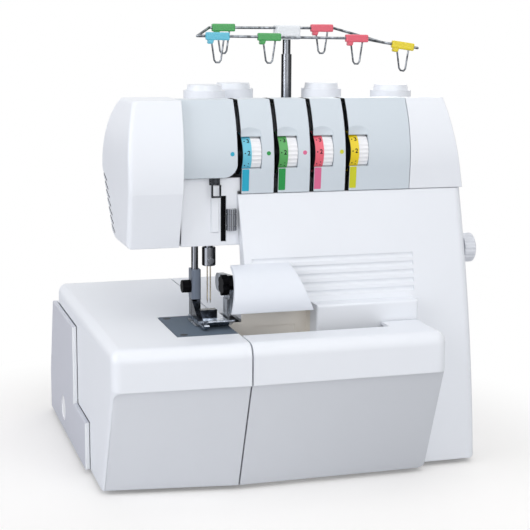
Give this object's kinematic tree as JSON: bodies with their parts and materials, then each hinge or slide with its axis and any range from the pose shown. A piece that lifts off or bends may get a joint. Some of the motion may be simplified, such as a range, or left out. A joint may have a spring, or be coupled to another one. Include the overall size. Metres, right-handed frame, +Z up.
{
  "type": "overlock sewing machine",
  "caption": "Home overlock sewing machine with knife, loopers, presser foot, coloured tension dials, hinged looper cover and a telescopic thread guide.",
  "frame": {"origin": "on the table, under the middle of the footprint", "axes": "+X to the handwheel at the machine's right, +Y to the back, +Z up"},
  "size_m": [0.336, 0.3, 0.3616],
  "materials": {
    "casing_white": "moulded, satin",
    "panel_grey": "moulded, satin",
    "tray_grey": "moulded, matt",
    "foot_rubber": "matt",
    "belt_rubber": "matt",
    "cast_metal": "as cast",
    "plate_steel": "brushed",
    "bright_steel": "polished",
    "bush_brass": "turned",
    "pulley_metal": "turned",
    "motor_paint": "painted",
    "black_plastic": "glossy",
    "spool_pin_metal": "drawn",
    "post_metal": "drawn, satin",
    "holder_plastic": "moulded, milky",
    "blue_plastic": "moulded",
    "green_plastic": "moulded",
    "pink_plastic": "moulded",
    "yellow_plastic": "moulded"
  },
  "bodies": {
    "base": {"base_tray": "tray_grey", "rubber_feet": "foot_rubber", "left_side_panel": "casing_white", "column_cover": "casing_white", "rear_cover": "casing_white", "tension_panel": "panel_grey", "face_cover": "casing_white", "arm_cover": "casing_white", "finger_guard": "casing_white", "looper_backplate": "plate_steel", "machine_frame": "cast_metal", "needle_plate": "plate_steel", "plate_screws": "plate_steel", "bar_bushes": "bush_brass", "presser_spring": "bright_steel", "lower_knife": "plate_steel", "shaft_bearings": "bright_steel", "drive_belt": "belt_rubber", "motor": "motor_paint", "power_inlet": "black_plastic", "dial_axle": "bright_steel", "thread_guides": "bright_steel", "spool_stand": "casing_white", "spool_pins": "spool_pin_metal", "spool_holders": "casing_white", "post_lower": "post_metal"},
    "bed_cover": {"bed_cover": "casing_white"},
    "looper_cover": {"looper_cover": "casing_white"},
    "drive_shaft": {"main_shaft": "bright_steel", "shaft_pulley": "pulley_metal", "handwheel": "casing_white"},
    "motor_rotor": {"motor_pulley": "pulley_metal"},
    "needle_unit": {"needle_bar": "bright_steel", "needle_clamp": "plate_steel", "needles": "bright_steel"},
    "knife_unit": {"upper_knife": "plate_steel", "upper_knife_arm": "plate_steel"},
    "knife_knob": {"knife_knob": "black_plastic"},
    "upper_looper": {"upper_looper": "bright_steel"},
    "lower_looper": {"lower_looper": "bright_steel"},
    "feed_dogs": {"feed_dogs": "plate_steel"},
    "presser_unit": {"presser_bar": "bright_steel", "foot_holder": "bright_steel", "presser_foot": "bright_steel", "foot_screw": "black_plastic"},
    "presser_lifter": {"presser_lifter": "plate_steel"},
    "dial_blue": {"tension_dial_blue": "blue_plastic"},
    "dial_green": {"tension_dial_green": "green_plastic"},
    "dial_pink": {"tension_dial_pink": "pink_plastic"},
    "dial_yellow": {"tension_dial_yellow": "yellow_plastic"},
    "differential_knob": {"differential_knob": "casing_white"},
    "power_switch": {"power_switch": "black_plastic"},
    "post_upper": {"post_upper": "post_metal"},
    "thread_guide": {"guide_holder": "holder_plastic", "guide_rail": "bright_steel", "thread_hooks": "bright_steel", "clip_blue": "blue_plastic", "clips_green": "green_plastic", "clips_pink": "pink_plastic", "clip_yellow": "yellow_plastic"}
  },
  "joints": [
    {"name": "bed_cover_slide", "type": "slide", "parent": "base", "child": "bed_cover", "axis": [-1, 0, 0], "range_m": [0, 0.115]},
    {"name": "looper_cover_hinge", "type": "hinge", "parent": "base", "child": "looper_cover", "pos_m": [0.022, -0.107, 0.014], "axis": [1, 0, 0], "range_deg": [0, 65]},
    {"name": "handwheel_turn", "type": "hinge", "parent": "base", "child": "drive_shaft", "pos_m": [0.132, 0.075, 0.092], "axis": [1, 0, 0], "continuous": true},
    {"name": "motor_turn", "type": "hinge", "parent": "base", "child": "motor_rotor", "pos_m": [0.132, -0.05, 0.046], "axis": [1, 0, 0], "continuous": true},
    {"name": "needle_stroke", "type": "slide", "parent": "base", "child": "needle_unit", "axis": [0, 0, 1], "range_m": [-0.028, 0]},
    {"name": "knife_rock", "type": "hinge", "parent": "base", "child": "knife_unit", "pos_m": [-0.05, -0.032, 0.152], "axis": [1, 0, 0], "range_deg": [0, 10]},
    {"name": "knife_knob_turn", "type": "hinge", "parent": "knife_unit", "child": "knife_knob", "pos_m": [-0.058, -0.062, 0.155], "axis": [1, 0, 0], "range_deg": [-90, 90]},
    {"name": "upper_looper_swing", "type": "hinge", "parent": "base", "child": "upper_looper", "pos_m": [-0.01, -0.04, 0.074], "axis": [0, 1, 0], "range_deg": [-10, 0]},
    {"name": "lower_looper_swing", "type": "hinge", "parent": "base", "child": "lower_looper", "pos_m": [-0.028, -0.04, 0.056], "axis": [0, 1, 0], "range_deg": [-12, 0]},
    {"name": "feed_stroke", "type": "slide", "parent": "base", "child": "feed_dogs", "axis": [0, 1, 0], "range_m": [-0.0015, 0]},
    {"name": "presser_lift", "type": "slide", "parent": "base", "child": "presser_unit", "axis": [0, 0, 1], "range_m": [0, 0.006]},
    {"name": "lifter_turn", "type": "hinge", "parent": "base", "child": "presser_lifter", "pos_m": [-0.07, 0.055, 0.224], "axis": [0, 1, 0], "range_deg": [0, 35]},
    {"name": "dial_blue_turn", "type": "hinge", "parent": "base", "child": "dial_blue", "pos_m": [-0.0377, -0.0568, 0.2603], "axis": [1, 0, 0], "range_deg": [-70, 245]},
    {"name": "dial_green_turn", "type": "hinge", "parent": "base", "child": "dial_green", "pos_m": [-0.0076, -0.0568, 0.2603], "axis": [1, 0, 0], "range_deg": [-70, 245]},
    {"name": "dial_pink_turn", "type": "hinge", "parent": "base", "child": "dial_pink", "pos_m": [0.0225, -0.0568, 0.2603], "axis": [1, 0, 0], "range_deg": [-70, 245]},
    {"name": "dial_yellow_turn", "type": "hinge", "parent": "base", "child": "dial_yellow", "pos_m": [0.0526, -0.0568, 0.2603], "axis": [1, 0, 0], "range_deg": [-70, 245]},
    {"name": "differential_turn", "type": "hinge", "parent": "base", "child": "differential_knob", "pos_m": [0.152, -0.063, 0.177], "axis": [1, 0, 0], "range_deg": [-135, 135]},
    {"name": "switch_rock", "type": "hinge", "parent": "base", "child": "power_switch", "pos_m": [0.15027, 0.122, 0.064], "axis": [0, 1, 0], "range_deg": [-8, 8]},
    {"name": "post_slide", "type": "slide", "parent": "base", "child": "post_upper", "axis": [0, 0, 1], "range_m": [0, 0.15]},
    {"name": "guide_swivel", "type": "hinge", "parent": "post_upper", "child": "thread_guide", "pos_m": [0.041, 0.082, 0.354], "axis": [0, 0, 1], "range_deg": [-90, 90]}
  ],
  "couplings": [
    {"joint": "motor_turn", "follows": "handwheel_turn", "ratio": 3.2222},
    {"joint": "knife_rock", "follows": "needle_stroke", "rad_per_m": -6.23},
    {"joint": "upper_looper_swing", "follows": "needle_stroke", "rad_per_m": 6.23},
    {"joint": "lower_looper_swing", "follows": "needle_stroke", "rad_per_m": 7.47},
    {"joint": "feed_stroke", "follows": "needle_stroke", "ratio": 0.0535},
    {"joint": "lifter_turn", "follows": "presser_lift", "rad_per_m": 101.7}
  ]
}
